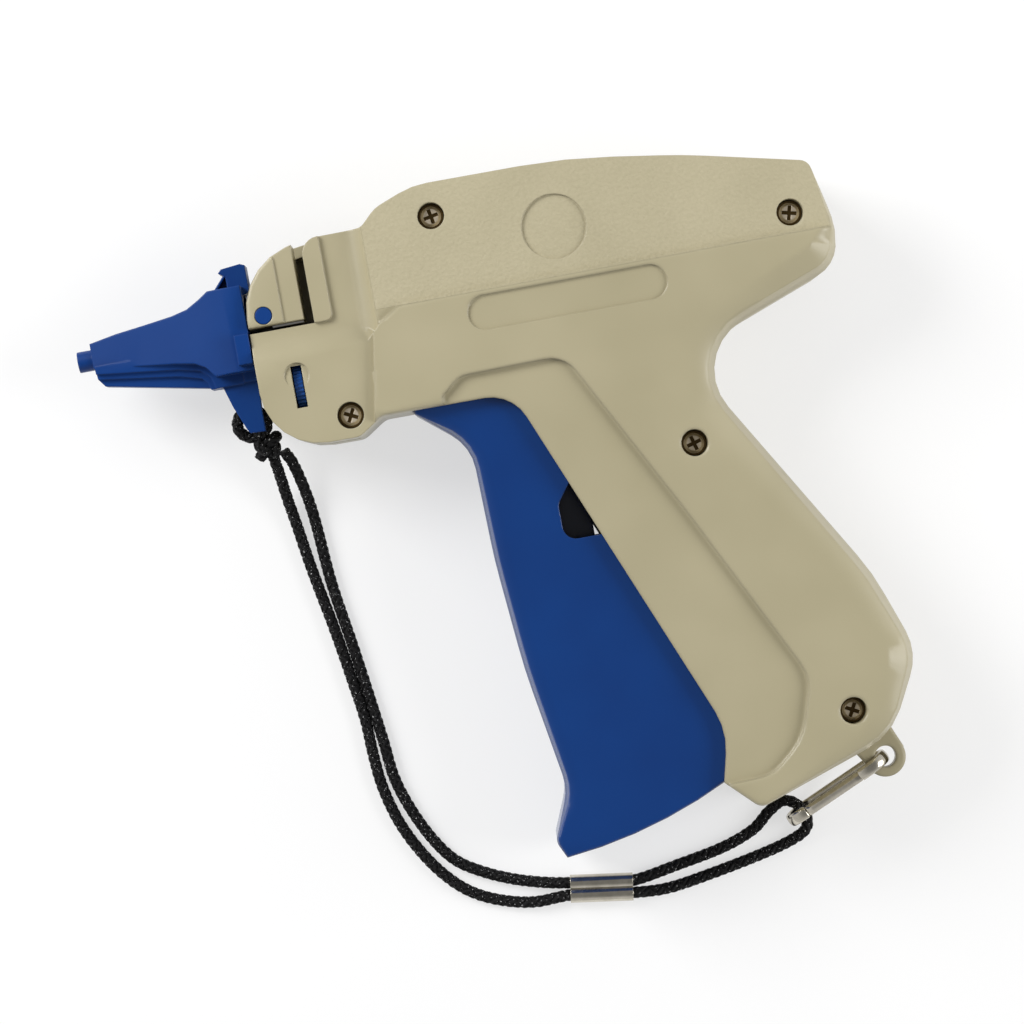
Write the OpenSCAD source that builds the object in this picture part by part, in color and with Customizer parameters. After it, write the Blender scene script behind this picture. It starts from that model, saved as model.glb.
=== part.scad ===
// Pistol-shaped tag attacher with a needle cover on a wrist cord.
// X runs along the barrel from the needle to the rear, Y towards the top of the gun, Z out of its near side.
// Shapes are drawn from the muzzle face (x = 0) and the barrel axis (y = 0), with the far side on z = 0.

/* [Housing] */
// Thickness of the closed housing, over both halves
housing_t = 26; // [25:0.5:28]
// Thickness of the side plates
plate_wall = 3; // [2.6:0.1:3.4]
// Thickness of the rim that runs round each half
rim_wall = 2.2; // [1.8:0.1:2.6]
// Muzzle face to the back of the housing
body_len = 114.9; // [113:0.1:118]
// Barrel axis to the top of the housing
body_top = 21.9; // [21:0.1:24]
// Barrel axis to the underside of the nose
nose_low = 23.8; // [23:0.1:25]
// Barrel axis to the toe of the grip
grip_drop = 108.2; // [106:0.1:112]
// Drop of the grained upper panel and of the finger hollow
panel_drop = 1.2; // [0.6:0.1:1.4]
// Drop of the nose's lower face
nose_drop = 1.4; // [1:0.1:1.6]
// Drop of the face round the slot
sight_drop = 3.6; // [3.2:0.1:4]
// Depth of the round and oblong recesses
badge_depth = 0.5; // [0.3:0.1:0.8]
// Diameter of the round recess
badge_d = 12.6; // [11:0.1:13]
// Length of the oblong recess
plate_len = 39; // [36:0.5:42]
// Width of the oblong recess
plate_w = 6.8; // [6:0.1:7.2]

/* [Slots] */
// Width of the upright gap that takes the tag strip
gap_w = 1.9; // [1.6:0.1:2.2]
// Width of the slot along the barrel
slot_w = 1.05; // [0.9:0.05:1.2]
// Width of the wheel window
window_w = 2.1; // [2:0.05:2.4]
// Length of the wheel window
window_l = 8.2; // [8:0.1:9]

/* [Screws and pins] */
// Screw shank diameter
screw_d = 2.6; // [2.4:0.1:2.8]
// Screw head diameter
head_d = 4.6; // [4.2:0.1:4.8]
// Screw head height
head_h = 1.6; // [1.4:0.1:1.8]
// Diameter of the recess round each head
recess_d = 5.2; // [5:0.1:5.6]
// Diameter of the screw posts, which the lever also turns on
post_d = 6.4; // [6.2:0.1:6.8]
// Running clearance on every pivot, on the radius
running = 0.05; // [0.03:0.01:0.08]
// Diameter of the trigger's pin
trigger_pin_d = 4; // [3.5:0.1:4.5]

/* [Trigger] */
// Width of the trigger
trigger_w = 19; // [18:0.25:19]
// Thickness of the trigger's side walls
trigger_side = 2; // [1.6:0.1:2.4]
// Thickness of the trigger's front wall
trigger_front = 2.3; // [2:0.1:2.6]
// Pivot to the trigger's lower edge
trigger_r = 94.6; // [94:0.1:95]
// Angle that the trigger is squeezed through
squeeze = 18; // [17:0.5:18]

/* [Drive] */
// Half of the angle that the drive lever swings through
half_swing = 26; // [25:0.25:26]
// Thickness of the drive lever's plate
lever_t = 3; // [2.6:0.1:3.2]
// Lever pivot to the centre of its foot
foot_len = 21; // [20.5:0.1:21]
// Radius of the lever's foot
foot_r = 2.5; // [2.2:0.1:2.6]
// Diameter of the slide's cross pin
slide_pin_d = 3; // [2.8:0.1:3.1]
// Diameter of the push rod
rod_d = 1.6; // [1.4:0.05:1.65]
// Width of the slide between its rails
slide_w = 6; // [5.6:0.1:6.2]
// Thickness of the slide across the housing
slide_t = 8; // [7.6:0.1:8.4]
// Wire of the return spring
spring_wire = 0.9; // [0.8:0.05:1]

/* [Needle] */
// Outer diameter of the needle
needle_d = 2.2; // [2.1:0.05:2.25]
// Bore of the needle
needle_bore = 1.76; // [1.74:0.01:1.8]
// Length of the needle in front of the muzzle face
needle_reach = 22; // [20:0.5:24]
// Diameter of the collar that the cover sits on
collar_d = 4.6; // [4.4:0.1:4.8]
// Diameter of the lock's shaft
lock_d = 2.6; // [2.4:0.05:2.65]

/* [Feed wheel] */
// Diameter of the knurled wheel
wheel_d = 10.6; // [10.2:0.1:10.8]
// Width of the knurled wheel
wheel_w = 1.7; // [1.5:0.05:1.75]
// Notches round the wheel
notches = 40; // [30:1:48]
// Diameter of the ratchet
ratchet_d = 6; // [5.6:0.1:6.2]
// Teeth on the ratchet
teeth = 12; // [10:1:14]
// Diameter of the wheel's shaft
wheel_shaft_d = 2; // [1.8:0.1:2.2]

/* [Cover and cord] */
// Muzzle face to the tip of the cover
cover_len = 34.6; // [34:0.1:38]
// Wall of the cover
cover_wall = 1.3; // [1:0.1:1.5]
// Half width of the cover at its rear, and radius of the drum inside it
drum_r = 8.1; // [7.8:0.1:8.4]
// Thickness of the cover's tail
tail_t = 2; // [1.6:0.1:2.6]
// Diameter of the cord
cord_d = 2.3; // [2.2:0.05:2.35]
// Radius of the cord's loop through the cover, to the middle of the cord
loop_r = 2.9; // [2.8:0.05:3]
// Radius of the knot
knot_r = 2.6; // [2.3:0.1:2.7]

/* [Ferrule and clip] */
// Length of the crimp sleeve
ferrule_len = 12.5; // [11:0.5:14]
// Wall of the crimp sleeve
ferrule_wall = 0.4; // [0.3:0.05:0.45]
// Width of the clip's strip
clip_w = 2.6; // [2.4:0.1:2.7]
// Thickness of the clip's strip
clip_t = 1; // [0.9:0.05:1.05]
// Length of the clip between the centres of its end bends
clip_len = 16.7; // [16.5:0.1:17]
// Height of the clip over its outer faces
clip_h = 8; // [7.8:0.1:8]
// Diameter of the lug's hole
lug_hole_d = 4.2; // [4.1:0.1:4.4]

/* [Hidden] */
$fn = 48;

// Degrees between the points of an arc, and rings over a rounded edge
arc_step = 15;
edge_rings = 2;
// How far a cutting shape runs past the face that it cuts
past = 1;
// Where a rib or post that stands on the joint starts, below the space that it stands in
below = -2;
// Small gap between pieces that rest against each other
fit_gap = 0.05;

half_t = housing_t / 2;
plate_in = half_t - plate_wall;
// Inner face of the thinner plate round the slot
sight_wall = 1.8;
sight_in = half_t - sight_drop - sight_wall;
badge_top = half_t - panel_drop;

// Outline of the grip and body below, behind and above, shared by both halves, anticlockwise.
// Each key is x, y, the corner's radius and the radius of the rounded edge there.
shared_keys = [
    [0, -nose_low, 11.5, 1.2], [17.6, -nose_low - 0.1, 3, 1], [22.3, -20.8, 3, 1],
    [47.8, -20.9, 8, 1], [77, -92.5, 14, 1.2], [74.6, 6 - grip_drop, 0, 0.8],
    [80.7, -grip_drop, 2.5, 1], [108, 8.9 - grip_drop, 14, 3.5], [116.2, -84.5, 11, 5], [110.5, -67.8, 45, 6],
    [81.9, -19.6, 11, 5], [body_len, -7.4, 7, 5], [body_len, 1.5, 20, 3], [body_len - 3, 12.9, 2.4, 1.1],
    [88.5, 18.3, 120, 1.2], [66, body_top - 0.1, 120, 1.2], [36, body_top, 16, 1.2],
    [28.2, 18.9, 6, 1.2], [25, 15.8, 1.5, 1]];
gap_x = 10.9;
gap_end = gap_x + gap_w;
slot_top = 0.45;
slot_low = slot_top - slot_w;
nose_arc = 13;
nose_top = 15.2;
near_keys = concat(shared_keys, [[gap_end, 15.7, 3.4, 0.8], [gap_end, slot_low, 0, 0.6], [0, slot_low, 0, 0.6]]);
far_keys = concat(shared_keys, [[0, nose_top, nose_arc, 1]]);
// The front block follows the far half's nose arc, between these angles
nose_hub = [nose_arc, nose_top - nose_arc];
block_arc = [for (a = [105:15:180]) let(p = nose_hub + nose_arc * [cos(a), sin(a)]) [p[0], p[1], 0, 0.8]];
block_keys = concat([[0, slot_top, 0, 0.6], [gap_x, slot_top, 0, 0.6], [gap_x, nose_top - 0.1, 0, 0.8]], block_arc);

// Places of the five screws
front_screw = [16.5, -19.5];
middle_screw = [80.7, -36.7];
screws = [front_screw, [38.6, 15.5], [body_len - 8.1, 3.7], middle_screw, [101.5, -92.9]];

trigger_pivot = [34, -17];
lever_pivot = middle_screw;
lever_reach = -lever_pivot[1];
stroke = 2 * lever_reach * tan(half_swing);
slide_x = lever_pivot[0] + stroke / 2;
foot_angle = -106;
foot = lever_pivot + foot_len * [cos(foot_angle), sin(foot_angle)];
hub_r = post_d / 2 + 1.8;
hub_half = 6;

// Straight face of the trigger's rib, which the lever's foot slides down
pad_dir = [0.282, -0.959];
pad_gap = 0.3;
pad_top = foot + (foot_r + pad_gap) * [pad_dir[1], -pad_dir[0]] + 0.5 * pad_dir * -1;
pad_len = 15;
pad_end = pad_top + pad_len * pad_dir;

wheel_x = 6.85;
wheel_y = -12.3;
wheel_z = half_t + 5.3;
ratchet_w = 2.6;
pawl_pivot = [20, -12.5];
horn_mid = trigger_pivot + 7.5 * [-0.952, 0.306];
horn = turned(horn_mid, trigger_pivot, -squeeze / 2);
horn_pin_d = 2;

channel_x = 6.8;
channel_l = 10.4;
lock_at = [3.3, 2.5];
base_x = 0.6;
base_l = 5.8;
base_w = 6.2;
base_t = 5.6;

lug_at = [107.2, -103.9];
lug_r = 4;
lug_z = half_t - 3.1;
lug_t = 2.7;

// Clip: it hangs from the lug's hole and leans on the surface
clip_turn = 206.5;
clip_tilt = 20.7;
bend_r = clip_h / 2;

// Cord: knot, outer strand, sleeve, round the clip's end, sleeve, inner strand, knot
cord_route = [
    [-0.7, -24.4, 7.4], [-0.3, -28, 5.2], [0.2, -33, 2.8], [1, -38.5, 1.5], [2.4, -48, 1.2], [4.6, -60, 1.2],
    [6.3, -71, 1.2], [7.4, -79, 1.2], [7.7, -86, 1.2], [8.4, -93, 1.2], [10.4, -100.4, 1.2], [13.6, -107, 1.2],
    [17.4, -112.4, 1.2], [21.8, -116.5, 1.2], [27.4, -119.3, 1.2], [34, -120.9, 1.4], [41.4, -120.8, 1.75],
    [47.6, -121.7, 1.75], [53.8, -122.6, 1.75], [61, -123, 1.2], [70, -121.7, 1.2], [79, -120, 1.2],
    [85.6, -118.4, 1.3], [89.6, -116.6, 2], [90.6, -114.4, 2.5], [89.8, -112.7, 2.55], [88.9, -110.9, 2.5],
    [86.4, -109.9, 2.1], [83.2, -111.7, 1.5], [79.6, -114.6, 1.2], [73, -117, 1.2], [63.5, -118.8, 1.2],
    [54.2, -120.2, 1.75], [48, -119.3, 1.75], [41.8, -118.4, 1.75], [36.6, -117.4, 1.4], [30.6, -115.6, 1.2],
    [24.8, -113, 1.2], [20, -109.8, 1.2], [16.4, -105, 1.2], [13.2, -98.4, 1.2], [11, -91.4, 1.2],
    [10.2, -84, 1.2], [9.2, -76, 1.2], [7.6, -64, 1.2], [5.7, -51, 1.2], [4.8, -39, 1.4], [4.2, -33.5, 2.6],
    [3.4, -29, 4.4], [2.6, -25.8, 6], [1.6, -23.6, 7.4]];
ferrule_from = [41.6, -119.6];
ferrule_turn = -8.26;
strand_apart = 2.42;
ferrule_z = 1.75;
knot_at = [-1.1, -21.6, 9.4];
stub_end = [-3.5, -24.2, 8.6];
// The loop hangs from the hole in the rib behind the tail
hole_y = -14.6;
loop_x = -3.4;
loop_tilt = 25;

// Colours, as the object shows them
beige = [0.76, 0.72, 0.6];
blue = [0.08, 0.26, 0.6];
deep_blue = [0.05, 0.2, 0.5];
nickel = [0.75, 0.74, 0.7];
dark = [0.07, 0.07, 0.08];

function unit(v) = v / norm(v);
function flat(p) = [p[0], p[1]];
function turned(p, about, a) = let(d = p - about)
    about + [d[0] * cos(a) - d[1] * sin(a), d[0] * sin(a) + d[1] * cos(a)];

// Points of one rounded corner, k, between the keys p and n; each point keeps its edge radius
function corner(p, k, n) =
    let(a = unit(flat(p) - flat(k)), b = unit(flat(n) - flat(k)), inside = acos(max(-1, min(1, a * b))))
    k[2] < 0.05 || inside > 179 ? [[k[0], k[1], k[3]]] :
    let(hub = flat(k) + unit(a + b) * k[2] / sin(inside / 2),
        start = flat(k) + a * k[2] / tan(inside / 2) - hub,
        side = a[0] * b[1] - a[1] * b[0] > 0 ? -1 : 1,
        steps = max(2, ceil((180 - inside) / arc_step)),
        from = atan2(start[1], start[0]))
    [for (i = [0:steps]) let(w = from + side * (180 - inside) * i / steps)
        [hub[0] + k[2] * cos(w), hub[1] + k[2] * sin(w), k[3]]];

function rounded(keys) = let(n = len(keys))
    [for (i = [0:n - 1]) each corner(keys[(i + n - 1) % n], keys[i], keys[(i + 1) % n])];

// Direction in which point i of an anticlockwise outline moves when the outline shrinks by one
function inward(pts, i) =
    let(n = len(pts), a = unit(flat(pts[i]) - flat(pts[(i + n - 1) % n])),
        b = unit(flat(pts[(i + 1) % n]) - flat(pts[i])), m = [-a[1] - b[1], a[0] + b[0]])
    m / max(0.3, 1 + a * b);

// One ring of a rounded edge: w is 0 where the edge starts and 90 on the flat face at height top
function edge_ring(pts, dirs, w, top, sign) =
    [for (i = [0:len(pts) - 1])
        let(e = pts[i][2], p = flat(pts[i]) + dirs[i] * e * (1 - cos(w)))
        [p[0], p[1], top - sign * e * (1 - sin(w))]];

// Plate over an outline with a rounded upper edge, and a rounded lower one if both is true;
// its first and last outlines go on straight by beyond
module skin(pts, low, top, both = false, beyond = 0) {
    n = len(pts);
    dirs = [for (i = [0:n - 1]) inward(pts, i)];
    lower = both ? [for (j = [edge_rings:-1:0]) edge_ring(pts, dirs, 90 * j / edge_rings, low, -1)]
        : [[for (p = pts) [p[0], p[1], low]]];
    upper = [for (j = [0:edge_rings]) edge_ring(pts, dirs, 90 * j / edge_rings, top, 1)];
    first = beyond > 0 ? [[for (p = lower[0]) p - [0, 0, beyond]]] : [];
    last = beyond > 0 ? [[for (p = upper[edge_rings]) p + [0, 0, beyond]]] : [];
    rings = concat(first, both || beyond == 0 ? lower : [], upper, last);
    m = len(rings);
    sides = [for (j = [0:m - 2], i = [0:n - 1], half = [0, 1])
        let(a = j * n + i, b = j * n + (i + 1) % n) half == 0 ? [a, a + n, b + n] : [a, b + n, b]];
    caps = [[for (i = [0:n - 1]) i], [for (i = [n - 1:-1:0]) (m - 1) * n + i]];
    polyhedron([for (r = rings) each r], concat(sides, caps));
}

near_pts = rounded(near_keys);
far_pts = rounded(far_keys);
block_pts = rounded(block_keys);

// Trigger: front edge down, lower edge round the pivot, back edge inside the grip, and the hub
function about_pivot(r, a) = trigger_pivot + r * [cos(a), sin(a)];
toe_angle = -85;
heel_angle = -59.6;
trigger_hub_r = 4.6;
lower_edge = [for (a = [toe_angle:4.2:heel_angle - 1]) let(p = about_pivot(trigger_r, a)) [p[0], p[1], 0, 0.8]];
heel = about_pivot(trigger_r, heel_angle);
trigger_keys = concat(
    [[trigger_pivot[0] - trigger_hub_r, -12.4, 4.4, 0.8], [28.6, -21.5, 0, 0.6], [38.2, -29.4, 10, 3],
        [38.7, -52, 120, 3.4], [40.6, -74, 120, 3.4], [44.6, -98.2, 10, 3], [40.6, -107.9, 2.4, 1.2]],
    lower_edge,
    [[heel[0], heel[1], 1, 0.6], [68.5, -53.5, 40, 0.6], [56, -29.5, 20, 0.6], [42, -12.4, 5, 0.8]]);
trigger_pts = rounded(trigger_keys);

// Middle of the object's box, without the cord and the clip
all_pts = concat(far_pts, trigger_pts);
x_back = max([for (p = all_pts) p[0]]);
y_low = min([for (p = all_pts) p[1]]);
y_high = max([for (p = all_pts) p[1]]);
centre = [(x_back - cover_len) / 2, (y_low + y_high) / 2, 0];
echo(centre = centre, size = [x_back + cover_len, y_high - y_low]);

module placed() { translate(-centre) children(); }
// Near and far halves: height runs outwards from the joint between them
module near_half() { translate([0, 0, half_t]) children(); }
module far_half() { translate([0, 0, half_t]) mirror([0, 0, 1]) children(); }
module slab(pts, low, high) { translate([0, 0, low]) linear_extrude(high - low) polygon([for (p = pts) flat(p)]); }
module block(from, to) { translate(from) cube(to - from); }
module post(at, r, low, high) { translate([at[0], at[1], low]) cylinder(r = r, h = high - low); }
// Round bar along X
module rod(x0, x1, y, z, r) { translate([x0, y, z]) rotate([0, 90, 0]) cylinder(r = r, h = x1 - x0); }
// Flat bar with round ends
module bar(p, q, w, low, high) {
    post(p, w / 2, low, high);
    post(q, w / 2, low, high);
    translate([p[0], p[1], low]) rotate(atan2(q[1] - p[1], q[0] - p[0]))
        translate([0, -w / 2, 0]) cube([norm(q - p), w, high - low]);
}
// Oblong of two half circles
module oblong(at, len, w, low, high) {
    bar(at - [(len - w) / 2, 0], at + [(len - w) / 2, 0], w, low, high);
}

// Lower edge of the grained panel, its left edge, and the finger hollow
panel_x = 24.7;
panel_edge = [[panel_x, -3.6], [29.5, -0.5], [body_len + 5, -0.3], [body_len + 5, 30], [panel_x, 30]];
nose_edge = [[-5, -30], [20, -30], [21.3, -19.4], [23.8, -4.6], [-5, -4.6]];
// The slot's flat face ends in a bevel below and in a cove towards the panel
bevel_top = -3;
bevel_foot = -5.9;
cove_x = 21;
cove_end = panel_x + 0.1;
cove_turn = 75;
cove_rise = 0.97 * (sight_drop - panel_drop);
cove_pts = [for (w = [0:15:cove_turn]) [cove_x + (cove_end - cove_x) * sin(w) / sin(cove_turn),
    half_t - sight_drop + cove_rise * (1 - cos(w)) / (1 - cos(cove_turn))]];
bevel_pts = [[bevel_foot - 0.4, half_t - nose_drop + 0.3], [bevel_top, half_t - sight_drop], [30, half_t - sight_drop],
    [30, half_t + past], [bevel_foot - 0.4, half_t + past]];
sight_edge = [[-5, -8], [20.4, -8], [23, -5.2], [25.2, -3.4], [25.2, 30], [-5, 30]];
module sight_cut() {
    intersection() {
        slab(sight_edge, half_t - sight_drop - past, half_t + past);
        translate([-6, 0, 0]) rotate([90, 0, 90]) linear_extrude(40) polygon(bevel_pts);
        translate([0, 40, 0]) rotate([90, 0, 0]) linear_extrude(60)
            polygon(concat([[-6, half_t - sight_drop]], cove_pts, [[cove_end, half_t + past], [-6, half_t + past]]));
    }
}
hollow_keys = [[34.5, -24, 0, 0], [34.5, -19.2, 0, 0], [38.5, -15.9, 4, 0], [59, -15.6, 6, 0], [76.5, -48.8, 60, 0],
    [94.5, -85, 8, 0], [91, -96.5, 12, 0], [84, -102.4, 8, 0], [74, -102.6, 1, 0], [60, -102.6, 0, 0],
    [46, -50, 0, 0], [42, -26, 0, 0]];
pad_x = 16.4;
pad_drop = 2.8;
pad_keys = [[gap_x, -0.6, 0, 0], [pad_x, -0.6, 1.3, 0], [pad_x, 30, 0, 0], [gap_x, 30, 0, 0]];

module levels(is_near) {
    slab(panel_edge, half_t - panel_drop, half_t + past);
    slab(nose_edge, half_t - nose_drop, half_t + past);
    difference() {
        sight_cut();
        if (is_near) slab(rounded(pad_keys), 0, half_t - pad_drop);
    }
    slab(rounded(hollow_keys), half_t - panel_drop, half_t + past);
}

// Space inside one half: what the guides and the children fill stays solid
module hollow(pts) {
    difference() {
        translate([0, 0, -past]) linear_extrude(plate_in + past)
            offset(delta = -rim_wall) polygon([for (p = pts) flat(p)]);
        block([-past, -5, sight_in], [27, 30, half_t + past]);
        guides();
        children();
    }
}

// Opening along the grip's front through which the trigger moves
mouth_keys = [[28.3, -60], [28.3, -17.6], [47, -17.6], [54, -25], [82, -92], [81, -100.5], [60, -116], [20, -116]];
module mouth() {
    intersection() {
        slab(mouth_keys, -2 * past, plate_in - 0.2);
        post(trigger_pivot, trigger_r + 0.6, -3 * past, plate_in);
    }
}

// Spaces in the nose for the needle's base, its collar, the rod and the tag strip
module front_spaces() {
    block([base_x - fit_gap, -base_w / 2 - fit_gap, half_t - base_t / 2 - fit_gap],
        [channel_x + 0.2, base_w / 2 + fit_gap, half_t + base_t / 2 + fit_gap]);
    rod(-past, base_x + past, 0, half_t, collar_d / 2 + fit_gap);
    rod(base_x + base_l, 22, 0, half_t, rod_d / 2 + 0.2);
    block([channel_x, -30, half_t - 1], [channel_x + channel_l, 30, half_t + 1.4]);
}

// Ribs and bosses that both halves have
rail_x0 = 49;
rail_x1 = body_len - 11.8;
rail_wall = 1.2;
rail_low = slide_t / 2 - 1;
module guides() {
    for (s = screws) post(s, post_d / 2, below, plate_in + past);
    post(lever_pivot, post_d / 2 + 1.2, hub_half + 0.2, plate_in + past);
    for (side = [-1, 1]) {
        y = side * (slide_w / 2 + 0.15 + rail_wall / 2);
        block([rail_x0, y - rail_wall / 2, rail_low], [rail_x1, y + rail_wall / 2, plate_in + past]);
    }
    block([rail_x0, -slide_w / 2 - 0.5, slide_t / 2 + 0.15], [rail_x1, slide_w / 2 + 0.5, slide_t / 2 + 1.3]);
    block([22, -3.2, 3 + fit_gap], [32, 3.2, sight_in + past]);
    post(trigger_pivot, trigger_pin_d / 2 + 1.6, trigger_w / 2 + 0.3, plate_in + past);
}

// Square-edged prism a little larger than one half, and the mould outside the half's rounded skin
module prism(pts, low, high) {
    translate([0, 0, low]) linear_extrude(high - low) offset(delta = past / 2) polygon([for (p = pts) flat(p)]);
}
module mould(pts, low, high, both) {
    difference() {
        block([-10, -grip_drop - 10, low - 5], [body_len + 15, body_top + 10, high + 5]);
        skin(pts, low, high, both, beyond = 8);
        children();
    }
}

module left_shell() {
    color(beige) difference() {
        near_half() difference() {
            prism(near_pts, 0, half_t);
            hollow(near_pts) {
                block([base_x, -6, below], [base_x + base_l, slot_low, sight_in + past]);
                shaft_ribs();
                block([8.9, -22, 2.15], [11.1, -18.6, plate_in + past]);
                post(pawl_pivot, 2.2, plate_in - 0.15, plate_in + past);
            }
            mouth();
            levels(true);
            post([61.6, 9.2], badge_d / 2, badge_top - badge_depth, half_t + past);
            oblong([61.7, -4.75], plate_len, plate_w, half_t - badge_depth, half_t + past);
            for (s = screws) {
                post(s, recess_d / 2, plate_in - 1.6, half_t + past);
                post(s, screw_d / 2 + 0.15, below - past, plate_in);
            }
            post(trigger_pivot, trigger_pin_d / 2 + 0.02, plate_in - 2, plate_in + 1.6);
            post(pawl_pivot, 1.02, plate_in - 2, plate_in + 1);
            block([wheel_x + wheel_w / 2 - window_w / 2, wheel_y - window_l / 2, plate_in - past],
                [wheel_x + wheel_w / 2 + window_w / 2, wheel_y + window_l / 2, half_t + past]);
            translate([wheel_x + wheel_w / 2, window_arch, half_t - nose_drop - 0.3]) rotate([arch_slope, 0, 0])
                cylinder(r = 2.4, h = 3);
        }
        rod(wheel_x - 3.3, 14.7, wheel_y, wheel_z, wheel_shaft_d / 2 + 0.02);
        front_spaces();
        near_half() mould(near_pts, 0, half_t, false);
    }
}

// The thumb's recess at the window is an arch that is deepest at its top
window_arch = wheel_y + 2.2;
arch_slope = -9;

// Two ribs that hold the wheel's shaft, the rear one with a window for the pawl's arm
module shaft_ribs() {
    low = wheel_z - half_t - 1.8;
    block([wheel_x - 2.8, wheel_y - 3, low], [wheel_x - 1.3, wheel_y + 3, plate_in + past]);
    difference() {
        block([12.4, wheel_y - 6.2, low], [13.9, wheel_y + 6, plate_in + past]);
        block([12, wheel_y - 4, 7.8], [14.3, wheel_y + 4.4, half_t]);
    }
}

module right_shell() {
    color(beige) difference() {
        union() {
            far_half() difference() {
                prism(far_pts, 0, half_t);
                hollow(far_pts) block([base_x, -6, below], [base_x + base_l, 8, sight_in + past]);
                mouth();
                levels(false);
                for (s = screws) post(s, screw_d / 2 + 0.05, below - past, plate_in + 0.6);
                post(trigger_pivot, trigger_pin_d / 2 + 0.02, plate_in - 2, plate_in + 1.6);
            }
            lug();
        }
        post(lock_at, lock_d / 2 + running, -past, housing_t);
        post(lug_at, lug_hole_d / 2, 0, housing_t);
        front_spaces();
        far_half() mould(far_pts, 0, half_t, false) far_half() lug();
    }
}

module lug() {
    post(lug_at, lug_r, lug_z, lug_z + lug_t);
    slab([[100.5, -100.6], [104.6, -106.9], [111.1, -102.6], [108.4, -96.2]], lug_z, lug_z + lug_t);
}

module nose_block() {
    color(beige) difference() {
        skin(block_pts, half_t + 0.02, housing_t - pad_drop);
        block([7, -5, housing_t - pad_drop - 0.4], [20, 30, housing_t]);
        block([channel_x, -5, 0], [20, 30, half_t + 1.4]);
        post(lock_at, lock_d / 2 + running, 0, housing_t);
        post(lock_at, 1.75, housing_t - pad_drop - 1, housing_t);
        front_spaces();
    }
}

// Screws lie with the head outwards, in the near half's recesses
screw_top = half_t + plate_in - 1.6 + head_h;
cross_w = 0.7;
module shell_screws() {
    color(nickel) for (s = screws) difference() {
        union() {
            post(s, head_d / 2, screw_top - head_h, screw_top);
            post(s, screw_d / 2, half_t - plate_in + 0.6, screw_top - head_h / 2);
        }
        for (a = [20, 110]) translate([s[0], s[1], screw_top - 0.8]) rotate(a)
            translate([-1.3, -cross_w / 2, 0]) cube([2.6, cross_w, past + 0.8]);
    }
}

module needle() {
    tip = -needle_reach;
    color(nickel) difference() {
        rod(tip, base_x + base_l - 0.2, 0, half_t, needle_d / 2);
        rod(tip - past, base_x + base_l + past, 0, half_t, needle_bore / 2);
        block([tip - past, -0.3, half_t], [base_x + base_l + past, 0.3, half_t + needle_d]);
        translate([tip, 0, half_t - needle_d / 2]) rotate([0, -28, 0])
            translate([-10, -3, 0]) cube([20, 6, 10]);
    }
}

module needle_base() {
    color([0.35, 0.36, 0.36]) difference() {
        union() {
            block([base_x, -base_w / 2, half_t - base_t / 2], [base_x + base_l, base_w / 2, half_t + base_t / 2]);
            rod(base_x - 3.8, base_x + past, 0, half_t, collar_d / 2);
        }
        rod(base_x - 5, base_x + base_l + past, 0, half_t, needle_d / 2 + 0.02);
        block([base_x - 5, -0.35, half_t], [base_x + base_l + past, 0.35, housing_t]);
        post(lock_at, lock_d / 2 + 0.1, 0, housing_t);
    }
}

// Lock: a shaft through the nose with a finger tab on the far side
tab_len = 9.5;
module needle_lock() {
    color(blue) difference() {
        union() {
            post(lock_at, lock_d / 2, 2, housing_t - pad_drop - 0.5);
            post(lock_at, 1.65, housing_t - pad_drop - 0.95, housing_t - pad_drop - 0.1);
            post(lock_at, 3.1, 0.8, sight_drop - 0.15);
            bar(lock_at, lock_at + [0, tab_len - 1.6], 3.2, 0.8, 2.8);
        }
        block([0, lock_at[1] + lock_d / 2 - 0.35, 9], [8, 8, 17]);
    }
}

module cutter_blade() {
    color(nickel) translate([0, slot_top - 0.03, 0]) rotate([90, 0, 0]) linear_extrude(0.45)
        polygon([[4.6, 16.2], [6.9, 16.2], [6.9, 14.9], [8.2, 14.6], [10.7, 14.6], [10.7, 21], [4.6, 21]]);
}

function star(n, r_out, r_in, lean) = [for (i = [0:n - 1], k = [0, 1])
    let(a = 360 * (i + k * lean) / n, r = k == 0 ? r_out : r_in) [r * cos(a), r * sin(a)]];
module wheel_slice(pts, x0, x1) {
    translate([x0, wheel_y, wheel_z]) rotate([90, 0, 90]) linear_extrude(x1 - x0) polygon(pts);
}

module feed_wheel() {
    end = wheel_x + wheel_w;
    color(blue) difference() {
        union() {
            wheel_slice(star(notches, wheel_d / 2, wheel_d / 2 - 0.3, 0.5), wheel_x, end);
            wheel_slice(star(teeth, ratchet_d / 2, ratchet_d / 2 - 0.7, 0.85), end - 0.2, end + ratchet_w);
        }
        rod(wheel_x - past, end + ratchet_w + past, wheel_y, wheel_z, wheel_shaft_d / 2 + running);
    }
}

module feed_wheel_shaft() {
    color(nickel) rod(wheel_x - 3.2, 14.6, wheel_y, wheel_z, wheel_shaft_d / 2);
}

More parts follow.
